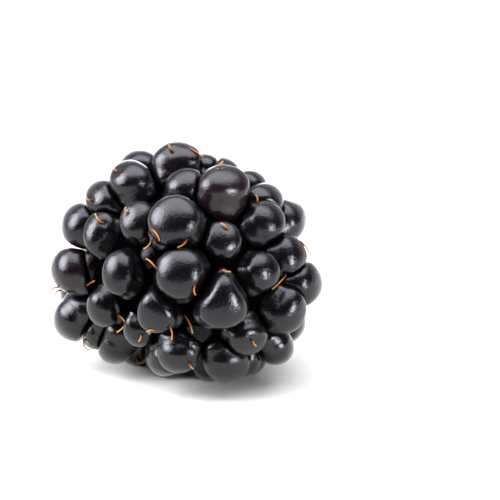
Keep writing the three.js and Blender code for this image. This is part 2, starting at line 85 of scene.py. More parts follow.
# Each row: across and up from the fruit's middle, then the drupelet's width and height.
DRAWN_DRUPELETS = [
    (3.5, 8.4, 4.1, 4.0), (-0.7, 9.6, 5.4, 3.8), (7.5, 5.6, 4.5, 4.4), (-7.8, 6.1, 4.4, 4.2),
    (-5.3, 7.9, 4.6, 4.3), (0.1, 7.3, 4.1, 3.6), (3.75, 7.15, 5.2, 4.4), (-10.0, 3.7, 4.2, 4.8),
    (-8.3, 2.9, 3.1, 4.6), (-4.6, 4.0, 3.6, 4.1), (-1.0, 3.95, 5.1, 5.0), (3.5, 1.95, 3.8, 3.8),
    (7.7, 3.8, 4.1, 4.4), (9.7, 3.9, 4.7, 4.5), (-11.2, -0.7, 4.1, 4.6), (-6.35, -1.05, 3.6, 4.4),
    (-0.5, -1.15, 4.7, 4.8), (7.3, -1.1, 3.8, 3.9), (9.8, 0.35, 3.9, 4.6), (11.1, -2.3, 4.5, 4.8),
    (-10.9, -5.5, 4.6, 4.7), (-8.1, -4.4, 3.2, 3.9), (-2.9, -4.75, 3.7, 4.3), (3.55, -3.9, 4.3, 5.2),
    (9.7, -4.75, 3.9, 4.9), (-4.7, -6.6, 3.0, 3.6), (5.85, -7.35, 4.2, 3.6), (-7.0, -8.0, 4.4, 3.9),
    (-0.8, -8.9, 4.4, 3.8), (8.6, -8.3, 4.4, 3.9), (-2.0, -9.2, 4.6, 3.5), (3.9, -9.75, 4.9, 4.0),
]
# How much narrower drupelets are at the height of their upper ends, by their place in the drawing.
TAPERS = {8: -0.15, 22: 0.3, 23: 0.4, 24: 0.2, 25: 0.3}
# Drupelets past the drawing's edge, of which only the tops peek over it.
PEEKING_DRUPELETS = [
    (-4.4, 9.1, 4.4, 4.2), (1.9, 9.3, 2.8, 3.2), (6.4, 7.4, 3.4, 3.4), (9.6, -6.1, 4.2, 4.4),
    (-8.9, -6.9, 3.4, 3.4), (5.6, -9.6, 3.4, 3.6),
]
# Drupelets that grew low between the others, with their middles this far under the bed.
RECESSED_DRUPELETS = [
    (-9.0, -0.3, 3.2, 4.4), (-3.3, 0.4, 2.4, 2.6), (1.3, -6.4, 3.0, 3.2),
]
RECESS = 1.8
# Each row: a style's root, bend and tip, across and up, then how far the bend and tip stand off the skin.
DRAWN_STYLES = [
    (-1.3, 11.2, -1.6, 11.7, -1.7, 12.2, 0.3, 0.5), (3.5, 9.5, 3.6, 9.8, 3.8, 10.0, 0.3, 0.5),
    (7.15, 5.9, 7.2, 6.3, 7.0, 6.6, 0.3, 0.4), (4.2, 3.25, 3.9, 3.6, 3.5, 3.8, 0.4, 0.5),
    (-8.15, 3.95, -8.7, 4.3, -9.0, 4.9, 0.3, 0.5), (-6.8, 9.1, -7.1, 9.3, -7.4, 9.3, 0.3, 0.5),
    (-5.9, 5.0, -6.0, 5.2, -6.0, 5.5, 0.3, 0.4), (-9.5, 6.2, -9.8, 6.4, -9.9, 6.7, 0.3, 0.4),
    (-3.45, 2.3, -3.7, 1.7, -4.2, 1.35, 0.4, 0.6), (0.1, 2.2, -0.3, 1.7, -0.85, 1.45, 0.4, 0.7),
    (-3.05, -0.55, -3.6, 0.1, -4.0, 0.3, 0.4, 0.6), (0.85, -2.45, 0.75, -2.9, 0.9, -3.3, 0.4, 0.5),
    (-9.85, -2.25, -8.8, -1.8, -8.0, -2.65, 0.6, 0.5), (-12.8, -2.4, -13.3, -2.5, -13.6, -2.9, 0.3, 0.4),
    (-12.7, -2.7, -13.0, -2.9, -13.0, -3.3, 0.3, 0.4), (-6.85, -5.25, -6.2, -6.1, -6.95, -6.95, 0.5, 0.6),
    (-1.7, -6.5, -1.5, -7.1, -1.55, -7.75, 0.5, 0.5), (-0.2, -5.35, 0.3, -6.2, 0.55, -7.15, 0.5, 0.7),
    (3.55, -0.85, 3.95, -1.0, 4.4, -1.05, 0.3, 0.4), (9.95, -1.5, 9.3, -2.2, 8.6, -2.85, 0.5, 0.5),
    (11.6, 1.95, 12.1, 1.2, 12.45, 0.4, 0.4, 0.4), (-10.3, -7.75, -10.2, -8.4, -9.65, -8.7, 0.4, 0.6),
    (-5.05, -9.65, -4.6, -10.1, -4.0, -9.35, 0.4, 0.5), (0.2, -10.2, 0.35, -10.5, 0.6, -10.7, 0.3, 0.4),
    (-4.6, -7.3, -4.65, -7.6, -4.8, -7.9, 0.3, 0.4), (-3.15, -6.85, -3.6, -6.8, -4.0, -6.95, 0.3, 0.4),
    (6.6, -8.0, 6.7, -8.3, 6.9, -8.5, 0.3, 0.4), (-3.45, 3.35, -2.9, 2.8, -2.65, 2.15, 0.2, 0.2),
    (0.45, 11.35, 1.1, 11.0, 1.75, 10.45, 0.2, 0.3),
]
# A style's steepest fall or rise along the line of sight, against its drawn length.
STEEPEST_INWARDS = 0.5
STEEPEST_OUTWARDS = 0.9

# ---- The other sides, as in the CAD part ----
HIDDEN_COUNT = 37
HIDDEN_SIZE = 4.3
HIDDEN_VARY = 0.35
HIDDEN_FACING = -0.36  # how far their skin has to face away from the camera: -1 is straight away
HIDDEN_SEED = 7
UNDERSIDE_STEEP = -0.8  # on the underside, the fruit's own edge hides more of what is under it
UNDERSIDE_FACING = -0.14
SPREAD_ROUNDS = 240
SPREAD_EASING = 0.3
SPACING = 1.06  # the middles' usual distance, against the mean of two drupelets' sizes
STEM_OVERLAP = 0.3  # a drupelet that overlaps the stem's end by more is left out
# Small drupelets fill what gaps are left: the least room that one needs, and its size against that room.
STUNTED_ROOM = 1.3
STUNTED_FIT = 2.3
STUNTED_LARGEST = 3.3
STUNTED_MOST = 6
STUNTED_TRIALS = 600
STUNTED_FACING = 0.1
# Styles there grow a little aside from a drupelet's top, lean over and bow, in shares of their lengths.
STYLE_SHARE = 0.7
STYLE_LENGTH = 1.1
STYLE_VARY = 1.0
STYLE_ASIDE = 0.35
STYLE_LEAN = 0.8
STYLE_BOW = 0.125
STYLE_SEED = 23
STYLE_SUNK = 0.7  # how deep each style's end is in its drupelet
STYLE_HEADROOM = 0.3  # between a style and the surface that the fruit lies on

# ---- The stem end, as in the CAD part ----
RECEPTACLE_RADIUS = 3.4
RECEPTACLE_CLEARANCE = 0.3
RECEPTACLE_RIM = 0.55  # how far its rim stands out past the bed's end
STEM_END = np.array((-BED_LENGTH, 0.0, 0.0))
X_AXIS = np.array((1.0, 0.0, 0.0))

# ---- Where the fruit's middle is in the frame ----
RECEPTACLE_LOW, RECEPTACLE_HIGH = (np.array(corner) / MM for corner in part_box("receptacle"))
MIDDLE = np.array((
    RECEPTACLE_LOW[0] + BED_LENGTH + RECEPTACLE_RIM,
    (RECEPTACLE_LOW[1] + RECEPTACLE_HIGH[1]) / 2,
    (RECEPTACLE_LOW[2] + RECEPTACLE_HIGH[2]) / 2,
))

# ---- The camera's directions ----
BACK = np.array((
    math.sin(TURN) * math.cos(TILT),
    -math.cos(TURN) * math.cos(TILT),
    math.sin(TILT),
))
ACROSS = np.array((math.cos(TURN), math.sin(TURN), 0.0))
UP = np.cross(BACK, ACROSS)
EYE = BACK * DISTANCE


def seeded(seed):
    """A repeatable stream of numbers from 0 to 1."""
    state = seed
    while True:
        state = (state * 1664525 + 1013904223) % 2**32
        yield state / 2**32


def unit(v):
    return v / np.linalg.norm(v, axis=-1, keepdims=True)


def facing(place, direction):
    """Where a camera or lamp is, and how it is turned, to look in a direction from a place."""
    return Matrix.Translation(place) @ direction.to_track_quat("-Z", "Y").to_matrix().to_4x4()


# ---- Camera ----

def make_camera():
    """A close view in which the fruit's middle is left of and under the picture's centre."""
    aim_across = 6.4
    aim_up = 1.1
    target = aim_across * ACROSS + aim_up * UP
    data = bpy.data.cameras.new("camera")
    data.sensor_width = 36.0
    data.lens = 144.0
    data.clip_start = 0.01
    camera = bpy.data.objects.new("camera", data)
    bpy.context.scene.collection.objects.link(camera)
    eye = Vector((MIDDLE + EYE) * MM)
    aim = Vector((MIDDLE + target) * MM) - eye
    camera.matrix_world = facing(eye, aim)
    bpy.context.scene.camera = camera


# ---- The bed ----

def ovoid_level(x, y, z):
    """1 on the bed as it was before it slumped, less inside it and more outside."""
    power = np.where(x < 0, BASE_BLUNTNESS, TIP_BLUNTNESS)
    along = np.abs(x) / BED_LENGTH
    around = np.hypot(y, z) / BED_RADIUS
    return (along**power + around**power) ** (1 / power)


def bed_level(p):
    """1 on the bed, less inside it and more outside, in proportion to the distance from the middle.

    The bed is an ovoid that its own weight has slumped.
    """
    x, y, z = p[..., 0], p[..., 1], p[..., 2]
    height = z / (BED_RADIUS * ovoid_level(x, y, z))
    spread = 1 - SLUMP * height
    return ovoid_level(x / spread, y / spread, z)


def onto_bed(p, lift):
    """p moved straight out from, or in to, the middle until it is lift above the bed."""
    return p * ((1 + lift / BED_RADIUS) / bed_level(p))[..., None]


def bed_normal(p):
    """Which way the bed faces at p."""
    steps = 1e-3 * np.eye(3)
    return unit(bed_level(p + steps) - bed_level(p - steps))


# ---- The best side's drawing ----

def sighted(across, up, ahead):
    """The points, ahead of the fruit's middle, of the line of sight through a drawn point."""
    sight = unit(across * ACROSS + up * UP - EYE)
    return EYE + (DISTANCE - np.asarray(ahead))[..., None] * sight


def drop_on_bed(across, up, lift, side):
    """Where a line of sight meets the near (1) or far (-1) side of the bed grown by lift.

    If it doesn't meet the bed, it is where it passes closest.
    """
    stride = 0.05
    points = sighted(across, up, side * np.arange(LENGTH / 2, -LENGTH / 2, -stride))
    levels = bed_level(points)
    meets = np.nonzero(levels <= 1 + lift / BED_RADIUS)[0]
    nearest = meets[0] if len(meets) else np.argmin(levels)
    return points[nearest]


# ---- Placing the drupelets ----

def size_of(drupelet):
    return (drupelet.width + drupelet.height) / 2


def lift_of(drupelet):
    """How far above the bed a drupelet's middle is: a larger one stands higher."""
    return size_of(drupelet) - DRUPELET


def drawn_drupelets():
    """The drupelets of the best side, each on the bed on its line of sight."""
    made = []

    def draw(rows, side, kind):
        for across, up, width, height in rows:
            drupelet = SimpleNamespace(width=width, height=height, taper=0, kind=kind)
            lift = -RECESS if kind == "recessed" else lift_of(drupelet)
            drupelet.middle = drop_on_bed(across, up, lift, side)
            made.append(drupelet)

    draw(DRAWN_DRUPELETS, 1, "drawn")
    draw(PEEKING_DRUPELETS, -1, "drawn")
    draw(RECESSED_DRUPELETS, 1, "recessed")
    for place, taper in TAPERS.items():
        made[place].taper = taper
    return made


def hidden_drupelets():
    """Drupelets scattered over the sides that the drawing doesn't reach."""
    random = seeded(HIDDEN_SEED)
    hidden = []
    while len(hidden) < HIDDEN_COUNT:
        x = 2 * next(random) - 1
        turn = 2 * math.pi * next(random)
        size = HIDDEN_SIZE + HIDDEN_VARY * (2 * next(random) - 1)
        around = math.sqrt(1 - x * x)
        direction = np.array((x, around * math.cos(turn), around * math.sin(turn)))
        drupelet = SimpleNamespace(width=size, height=size, taper=0, kind="hidden")
        drupelet.middle = onto_bed(direction, lift_of(drupelet))
        if is_hidden(drupelet.middle):
            hidden.append(drupelet)
    return hidden


def is_hidden(p):
    """Whether a drupelet at p is out of the drawing's sight, facing away or on the underside."""
    normal = bed_normal(p)
    return normal @ BACK < (UNDERSIDE_FACING if normal[2] < UNDERSIDE_STEEP else HIDDEN_FACING)


def spread_out(drupelets):
    """Moves the hidden drupelets apart over the bed, and away from the drawn ones, until all have room."""
    middles = np.array([drupelet.middle for drupelet in drupelets])
    sizes = np.array([size_of(drupelet) for drupelet in drupelets])
    hidden = [i for i, drupelet in enumerate(drupelets) if drupelet.kind == "hidden"]
    for _ in range(SPREAD_ROUNDS):
        for i in hidden:
            apart = middles[i] - middles
            distance = np.linalg.norm(apart, axis=1)
            room = SPACING * (sizes[i] + sizes) / 2
            close = distance < room
            close[i] = False
            push = (apart[close] * ((room[close] - distance[close]) / distance[close])[:, None]).sum(axis=0)
            from_stem = middles[i] - STEM_END
            stem_distance = np.linalg.norm(from_stem)
            needed = RECEPTACLE_RADIUS + RECEPTACLE_CLEARANCE + sizes[i] / 2
            if stem_distance < needed:
                push = push + from_stem * (needed - stem_distance) / stem_distance
            moved = onto_bed(middles[i] + SPREAD_EASING * push, sizes[i] - DRUPELET)
            if is_hidden(moved):
                middles[i] = moved
    for drupelet, middle in zip(drupelets, middles):
        drupelet.middle = middle


def stem_room(drupelet):
    """How far a drupelet is outside the ring that the stem's end needs."""
    needed = RECEPTACLE_RADIUS + RECEPTACLE_CLEARANCE + size_of(drupelet) / 2
    return np.linalg.norm(drupelet.middle - STEM_END) - needed


def fill_gaps(drupelets):
    """Puts a small, low drupelet into each hidden gap that has room for one, the widest gap first."""
    order = np.arange(STUNTED_TRIALS)
    x = (2 * order + 1) / STUNTED_TRIALS - 1
    around = np.sqrt(1 - x * x)
    turn = math.pi * (3 - math.sqrt(5)) * order
    spots = onto_bed(np.stack((x, around * np.cos(turn), around * np.sin(turn)), axis=1), 0)
    facing = np.array([bed_normal(spot) @ BACK for spot in spots])
    spots = spots[facing < STUNTED_FACING]
    for _ in range(STUNTED_MOST):
        rooms = np.linalg.norm(spots - STEM_END, axis=1) - RECEPTACLE_RADIUS - RECEPTACLE_CLEARANCE
        for drupelet in drupelets:
            rooms = np.minimum(rooms, np.linalg.norm(spots - drupelet.middle, axis=1) - size_of(drupelet) / 2)
        widest = np.argmax(rooms)
        if rooms[widest] < STUNTED_ROOM:
            return
        size = min(STUNTED_FIT * rooms[widest], STUNTED_LARGEST)
        drupelet = SimpleNamespace(width=size, height=size, taper=0, kind="stunted")
        drupelet.middle = onto_bed(spots[widest], lift_of(drupelet))
        drupelets.append(drupelet)


# ---- Shaping a drupelet ----

def give_directions(drupelet):
    """Which way a drupelet points, its own axes, and how much wider its flanks are."""
    drupelet.out = bed_normal(drupelet.middle)
    drupelet.side = unit(np.cross(UP, drupelet.out))
    drupelet.rise = np.cross(drupelet.out, drupelet.side)
    drupelet.flanks = 1 + FLANKS * abs(drupelet.out @ BACK)


def egg_radius(drupelet, directions):
    """The radius of the egg, spreading towards its root, that a drupelet would be on its own."""
    out = directions @ drupelet.out
    depth = np.where(out > 0, DOME * size_of(drupelet) / 2, ROOT)
    spread = drupelet.flanks * (1 + SKIRT * np.maximum(-out, 0))
    rise = directions @ drupelet.rise
    width = spread * drupelet.width * (1 - drupelet.taper * rise)
    side = directions @ drupelet.side / (width / 2)
    return 1 / np.sqrt(side**2 + (rise / (spread * drupelet.height / 2)) ** 2 + (out / depth) ** 2)


def egg_drop(drupelet):
    """How far the egg reaches below its middle."""
    side = drupelet.side[2] * drupelet.flanks * drupelet.width / 2
    rise = drupelet.rise[2] * drupelet.flanks * drupelet.height / 2
    out = drupelet.out[2] * DOME * size_of(drupelet) / 2
    return math.sqrt(side**2 + rise**2 + out**2)


def rest_on_surface(drupelets):
    """Drupelets that nearly reach the resting surface sag on to it, and those below it are pressed up."""
    for drupelet in drupelets:
        lowest = drupelet.middle[2] - egg_drop(drupelet)
        if lowest < SAG_WITHIN - REST_HEIGHT:
            drupelet.middle[2] -= lowest + REST_HEIGHT + SAG_PRESSED


def give_planes(drupelet, drupelets):
    """The planes that a drupelet shares with the neighbours that press on it."""
    directions = []
    distances = []
    for other in drupelets:
        if other is drupelet:
            continue
        direction = other.middle - drupelet.middle
        distance = np.linalg.norm(direction)
        direction = direction / distance
        own = egg_radius(drupelet, direction)
        others = egg_radius(other, -direction)
        if own + others + SKIRT_GAP < distance:
            continue
        directions.append(direction)
        distances.append((distance - CREASE) * own / (own + others))
    drupelet.plane_directions = np.array(directions).reshape(-1, 3)
    drupelet.plane_distances = np.array(distances)


def skin_radius(drupelet, directions):
    """From a drupelet's middle to its skin: the egg, pressed smoothly flat against each plane."""
    pressing = np.maximum(directions @ drupelet.plane_directions.T, 0) / drupelet.plane_distances
    total = egg_radius(drupelet, directions) ** -PRESSED + (pressing**PRESSED).sum(axis=-1)
    return total ** (-1 / PRESSED)


def grown_drupelets():
    """All drupelets, placed, with room for the stem's end, and with the planes that press on them."""
    drupelets = drawn_drupelets() + hidden_drupelets()
    spread_out(drupelets)
    drupelets = [drupelet for drupelet in drupelets if stem_room(drupelet) > -STEM_OVERLAP]
    fill_gaps(drupelets)
    for drupelet in drupelets:
        give_directions(drupelet)
    rest_on_surface(drupelets)
    for drupelet in drupelets:
        give_planes(drupelet, drupelets)
    return drupelets


# ---- Styles' paths ----

def meet_skin(drupelets, across, up):
    """The drupelet that a line of sight meets first, and how far ahead of the middle it meets it."""
    stride = 0.04
    ahead = np.arange(LENGTH / 2, -LENGTH / 2, -stride)
    points = sighted(across, up, ahead)
    first = len(points)
    met = None
    for drupelet in drupelets:
        apart = points - drupelet.middle
        distance = np.linalg.norm(apart, axis=1)
        close = np.nonzero(distance < ROOT)[0]
        if not len(close):
            continue
        inside = distance[close] < skin_radius(drupelet, apart[close] / distance[close, None])
        if inside.any() and close[inside][0] < first:
            first = close[inside][0]
            met = drupelet
    return (met, ahead[first]) if met else (None, None)


def seen_from_best_side(drupelets, point):
    """Whether the drawing's viewer sees a point, with nothing in front of it."""
    ahead = DISTANCE - np.linalg.norm(point - EYE)
    shrink = DISTANCE / (DISTANCE - point @ BACK)
    met, met_ahead = meet_skin(drupelets, shrink * (point @ ACROSS), shrink * (point @ UP))
    return met is None or met_ahead < ahead


def rooted_style(drupelet, root, bend, tip):
    """A style's path, from its end sunk in the drupelet to its tip."""
    sunk = root + STYLE_SUNK * unit(drupelet.middle - root)
    return SimpleNamespace(drupelet=drupelet, sunk=sunk, root=root, bend=bend, tip=tip)


def drawn_styles(drupelets):
    """The styles of the best side. No stretch of one runs much steeper than the drawing shows."""
    def ahead_of(across, up, off, last, stretch):
        """How far ahead a bend or tip is, at the end of a stretch drawn this long from the last point."""
        under, under_ahead = meet_skin(drupelets, across, up)
        if under is None:
            return last
        deepest = last - STEEPEST_INWARDS * stretch
        highest = last + STEEPEST_OUTWARDS * stretch
        return min(max(under_ahead + off, deepest), highest)

    stride = 0.01
    styles = []
    for x0, y0, x1, y1, x2, y2, bend_off, tip_off in DRAWN_STYLES:
        # A root drawn just past the fruit's edge moves inwards until it meets the skin.
        inwards = 1.0
        drupelet, root_ahead = meet_skin(drupelets, x0, y0)
        while drupelet is None:
            inwards -= stride
            drupelet, root_ahead = meet_skin(drupelets, inwards * x0, inwards * y0)
        bend_ahead = ahead_of(x1, y1, bend_off, root_ahead, math.hypot(x1 - x0, y1 - y0))
        tip_ahead = ahead_of(x2, y2, tip_off, bend_ahead, math.hypot(x2 - x1, y2 - y1))
        root = sighted(inwards * x0, inwards * y0, root_ahead)
        bend = sighted(x1, y1, bend_ahead)
        tip = sighted(x2, y2, tip_ahead)
        bend[2] = max(bend[2], STYLE_HEADROOM - REST_HEIGHT)
        tip[2] = max(tip[2], STYLE_HEADROOM - REST_HEIGHT)
        styles.append(rooted_style(drupelet, root, bend, tip))
    return styles


def hidden_styles(drupelets):
    """Styles on most of the hidden drupelets, each leaning and bowed its own way."""
    random = seeded(STYLE_SEED)
    styles = []
    for drupelet in drupelets:
        has = next(random) < STYLE_SHARE
        turn = 2 * math.pi * next(random)
        length = STYLE_LENGTH + STYLE_VARY * next(random)
        bow = 2 * math.pi * next(random)
        if drupelet.kind != "hidden" or not has:
            continue
        sideways = drupelet.side * math.cos(turn) + drupelet.rise * math.sin(turn)
        bowed = drupelet.side * math.cos(bow) + drupelet.rise * math.sin(bow)
        direction = unit(drupelet.out + STYLE_ASIDE * sideways)
        root = drupelet.middle + direction * skin_radius(drupelet, direction)
        lean = unit(drupelet.out + STYLE_LEAN * sideways)
        bend = root + lean * (length / 2) + bowed * (STYLE_BOW * length)
        tip = root + lean * length
        clear_of_floor = min(bend[2], tip[2]) > STYLE_HEADROOM - REST_HEIGHT
        if clear_of_floor and not seen_from_best_side(drupelets, tip):
            styles.append(rooted_style(drupelet, root, bend, tip))
    return styles


# ---- Meshes ----

def mesh_object(name, points, faces, material, smooth=True):
    """A mesh object from points in millimetres from the fruit's middle."""
    mesh = bpy.data.meshes.new(name)
    mesh.from_pydata(((points + MIDDLE) * MM).tolist(), [], faces)
    mesh.polygons.foreach_set("use_smooth", [smooth] * len(mesh.polygons))
    mesh.materials.append(material)
    mesh.update()
    made = bpy.data.objects.new(name, mesh)
    bpy.context.scene.collection.objects.link(made)
    return made


def closed_faces(rings, segments, first):
    """Faces of a closed surface from one pole over rings of points to the other."""
    def at(ring, s):
        return first + 1 + ring * segments + s % segments

    last = first + 1 + rings * segments
    faces = []
    for s in range(segments):
        faces.append((first, at(0, s), at(0, s + 1)))
        for ring in range(1, rings):
            faces.append((at(ring - 1, s), at(ring, s), at(ring, s + 1), at(ring - 1, s + 1)))
        faces.append((at(rings - 1, s), last, at(rings - 1, s + 1)))
    return faces


def float_attribute(made, name, values):
    """Gives each point of a mesh a value that its material reads by name."""
    attribute = made.data.attributes.new(name, "FLOAT", "POINT")
    attribute.data.foreach_set("value", np.asarray(values, dtype=np.float32))


# ---- Fine core ----

CORE_SEGMENTS = 48
CORE_RINGS = 31


def core_points():
    """An ovoid as deep in the bed as the CAD part's core."""
    polar = np.radians(np.linspace(0, 180, CORE_RINGS + 2)[1:-1])
    turn = 2 * math.pi * np.arange(CORE_SEGMENTS) / CORE_SEGMENTS
    rings = np.stack(np.broadcast_arrays(
        np.cos(polar)[:, None],
        np.sin(polar)[:, None] * np.cos(turn),
        np.sin(polar)[:, None] * np.sin(turn),
    ), axis=-1)
    directions = np.concatenate(((X_AXIS,), rings.reshape(-1, 3), (-X_AXIS,)))
    return onto_bed(directions, -CORE_DEPTH)


def make_core(material):
    """The core's surface, which shows only as the bottoms of the creases, in painted shade."""
    made = mesh_object("core_fine", core_points(), closed_faces(CORE_RINGS, CORE_SEGMENTS, 0), material)
    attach(made, "root")
    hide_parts("drupelets")


# ---- Fine drupelets ----

GRID_SEGMENTS = 40
# Rings are close together at the pole, where the style grows, and wider apart from there on.
GRID_POLAR = np.radians((3, 6, 9, 13, 18, 24, 31, 38, 46, 54, 62, 70, 79, 88, 97, 107, 118, 130, 150))
DENT = 0.09  # depth of a drupelet's broad dents
DENT_WIDTH = 2.4
WRINKLE = 0.018  # depth of its fine wrinkles
WRINKLE_WIDTH = 0.7
DIMPLE = 0.16  # depth of the dimple that a style grows from
DIMPLE_RADIUS = 0.42
FLATNESS = 0.52  # how high a dome, against its half width, the middle of a drupelet's skin is shaded as

# How ruddy drupelets are, 0 for black and 1 for purple. Those of the best side go by their place in the
# drawing, where the three that grew low come last.
RUDDY = {1: 0.3, 6: 0.9, 14: 0.9, 16: 0.1, 38: 0.8, 39: 0.0, 40: 0.0}
RUDDY_STUNTED = 0.4
RUDDY_CHANCE = 0.85  # a hidden drupelet that draws more than this is as ruddy as it draws
RUDDY_SLIGHT = 0.12
RUDDY_SEED = 5


def pole_of(drupelet, styles):
    """The direction that a drupelet's grid starts from: its style's root, or straight out."""
    for style in styles:
        if style.drupelet is drupelet:
            return unit(style.root - drupelet.middle), True
    return drupelet.out, False


def grid_directions(pole):
    """Directions over a sphere, in rings round a pole."""
    side = unit(np.cross(UP, pole))
    rise = np.cross(pole, side)
    turn = 2 * math.pi * np.arange(GRID_SEGMENTS) / GRID_SEGMENTS
    around = np.cos(turn)[:, None] * side + np.sin(turn)[:, None] * rise
    rings = np.cos(GRID_POLAR)[:, None, None] * pole + np.sin(GRID_POLAR)[:, None, None] * around
    return np.concatenate((pole[None], rings.reshape(-1, 3), -pole[None]))


def waviness(points, width):
    """Smooth noise at points, with bumps about width across."""
    return np.array([noise.noise(Vector(p / width)) for p in points])


def drupelet_points(drupelet, pole, has_style):
    """A drupelet's skin with its dents, its wrinkles and the dimple that its style grows from."""
    directions = grid_directions(pole)
    radius = skin_radius(drupelet, directions)
    points = drupelet.middle + directions * radius[:, None]
    radius += DENT * waviness(points, DENT_WIDTH)
    radius += WRINKLE * waviness(points, WRINKLE_WIDTH)
    if has_style:
        away = np.arccos(np.clip(directions @ pole, -1, 1)) * radius
        radius -= DIMPLE * np.exp(-((away / DIMPLE_RADIUS) ** 2))
    points = drupelet.middle + directions * radius[:, None]
    points[:, 2] = np.maximum(points[:, 2], -REST_HEIGHT)
    return points


def ruddiness(drupelets):
    """How ruddy each drupelet is."""
    random = seeded(RUDDY_SEED)
    values = []
    for index, drupelet in enumerate(drupelets):
        chance = next(random)
        if index in RUDDY:
            values.append(RUDDY[index])
        elif drupelet.kind == "stunted":
            values.append(RUDDY_STUNTED)
        elif drupelet.kind == "hidden" and chance > RUDDY_CHANCE:
            values.append(chance)
        else:
            values.append(RUDDY_SLIGHT * chance)
    return values


def flatten_normals(made, outwards):
    """Turns normals outwards, as on a flatter dome: most in a drupelet's middle, not at all at its edge."""
    normals = np.array([vertex.normal for vertex in made.data.vertices])
    rise = (normals * outwards).sum(axis=1, keepdims=True)
    normals = unit(normals + outwards * np.maximum(rise, 0) ** 2 * (1 / FLATNESS - 1))
    made.data.normals_split_custom_set_from_vertices(normals.tolist())


def make_drupelets(drupelets, styles, material):
    """All drupelets' skins, with how ruddy they are and which of them are low between the others, which the
    skin darkens with painted shade.
    """
    points = []
    faces = []
    ruddy = []
    low = []
    outwards = []
    count = 0
    for drupelet, tint in zip(drupelets, ruddiness(drupelets)):
        pole, has_style = pole_of(drupelet, styles)
        grown = drupelet_points(drupelet, pole, has_style)
        faces += closed_faces(len(GRID_POLAR), GRID_SEGMENTS, count)
        points.append(grown)
        ruddy.append(np.full(len(grown), tint))
        low.append(np.full(len(grown), float(drupelet.kind == "recessed")))
        outwards.append(np.broadcast_to(drupelet.out, grown.shape))
        count += len(grown)
    made = mesh_object("drupelets_fine", np.concatenate(points), faces, material)
    float_attribute(made, "ruddy", np.concatenate(ruddy))
    # Painted shade: this marks the low drupelets, whose skin is made to mirror less.
    float_attribute(made, "low", np.concatenate(low))
    flatten_normals(made, np.concatenate(outwards))
    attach(made, "root")
    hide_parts("drupelets")


# ---- Fine styles ----

STYLE_SIDES = 8
STYLE_STEPS = 14
STYLE_RADIUS = 0.072
# A style's thickness against STYLE_RADIUS: at its root, how much it thins to its tip, and the tip's knob.
STYLE_ROOT = 1.25
STYLE_THINNING = 0.5
STYLE_KNOB = 0.35
STYLE_KNOB_LENGTH = 0.06
ASKEW = (0.31, 0.42, 0.85)  # a direction that no style runs along


def style_rings(style):
    """Rings round a thin bowed rod, from its tip to its root, how far along they are, and its path."""
    t = np.linspace(0, 1, STYLE_STEPS)[:, None]
    control = 2 * style.bend - (style.root + style.tip) / 2
    curve = (1 - t) ** 2 * style.root + 2 * t * (1 - t) * control + t**2 * style.tip
    path = np.concatenate((style.sunk[None], curve))
    along = unit(np.gradient(path, axis=0))
    side = unit(np.cross(along, ASKEW))
    other = np.cross(along, side)
    share = np.concatenate(((0,), t[:, 0]))
    knob = STYLE_KNOB * np.exp(-(((1 - share) / STYLE_KNOB_LENGTH) ** 2))
    radius = STYLE_RADIUS * (STYLE_ROOT - STYLE_THINNING * share + knob)
    turn = 2 * math.pi * np.arange(STYLE_SIDES) / STYLE_SIDES
    around = np.cos(turn)[None, :, None] * side[:, None] + np.sin(turn)[None, :, None] * other[:, None]
    rings = path[:, None] + radius[:, None, None] * around
    return rings[::-1], share[::-1], path


def make_styles(styles, material):
    """All dry styles, with how far along each of them a point is."""
    points = []
    faces = []
    shares = []
    count = 0
    for style in styles:
        rings, share, path = style_rings(style)
        points += [path[-1:], rings.reshape(-1, 3), path[:1]]
        faces += closed_faces(len(rings), STYLE_SIDES, count)
        shares += [share[:1], np.repeat(share, STYLE_SIDES), share[-1:]]
        count += 2 + len(rings) * STYLE_SIDES
    made = mesh_object("styles_fine", np.concatenate(points), faces, material)
    float_attribute(made, "along", np.concatenate(shares))
    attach(made, "root")


# ---- Fine receptacle ----

# Each row: how far inside the bed's end, and the radius there.
RECEPTACLE_OUTLINE = [
    (0.2, 0.0), (0.18, 0.35), (0.05, 0.7), (-0.2, 1.1), (-0.45, 1.5), (-0.57, 1.9), (-0.55, 2.3),
    (-0.44, 2.7), (-0.25, 3.0), (0.0, 3.25), (0.3, 3.4), (1.2, 3.3), (2.1, 3.2), (2.8, 2.6), (3.0, 0.0),
]
RECEPTACLE_SEGMENTS = 96
# How high and how wide the ends of its fibres are, and its lumps.
FIBRES = (0.05, 0.5)
LUMPS = (0.1, 1.8)


def make_receptacle(material):
    """The receptacle's plug, hollowed a little where it was picked off."""
    turn = 2 * math.pi * np.arange(RECEPTACLE_SEGMENTS) / RECEPTACLE_SEGMENTS
    points = [STEM_END[None] + RECEPTACLE_OUTLINE[0][0] * X_AXIS]
    for inside, radius in RECEPTACLE_OUTLINE[1:-1]:
        x = np.full_like(turn, STEM_END[0] + inside)
        ring = np.stack((x, radius * np.cos(turn), -radius * np.sin(turn)), axis=1)
        relief = FIBRES[0] * waviness(ring, FIBRES[1]) + LUMPS[0] * waviness(ring, LUMPS[1])
        points.append(ring - relief[:, None] * X_AXIS)
    points.append(STEM_END[None] + RECEPTACLE_OUTLINE[-1][0] * X_AXIS)
    faces = closed_faces(len(RECEPTACLE_OUTLINE) - 2, RECEPTACLE_SEGMENTS, 0)
    made = mesh_object("receptacle_fine", np.concatenate(points), faces, material)
    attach(made, "root")
    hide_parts("receptacle")


# ---- Materials ----

def new_material(name):
    """A new material, its nodes and links, and its shader."""
    material = bpy.data.materials.new(name)
    material.use_nodes = True
    nodes = material.node_tree.nodes
    return material, nodes, material.node_tree.links, nodes["Principled BSDF"]


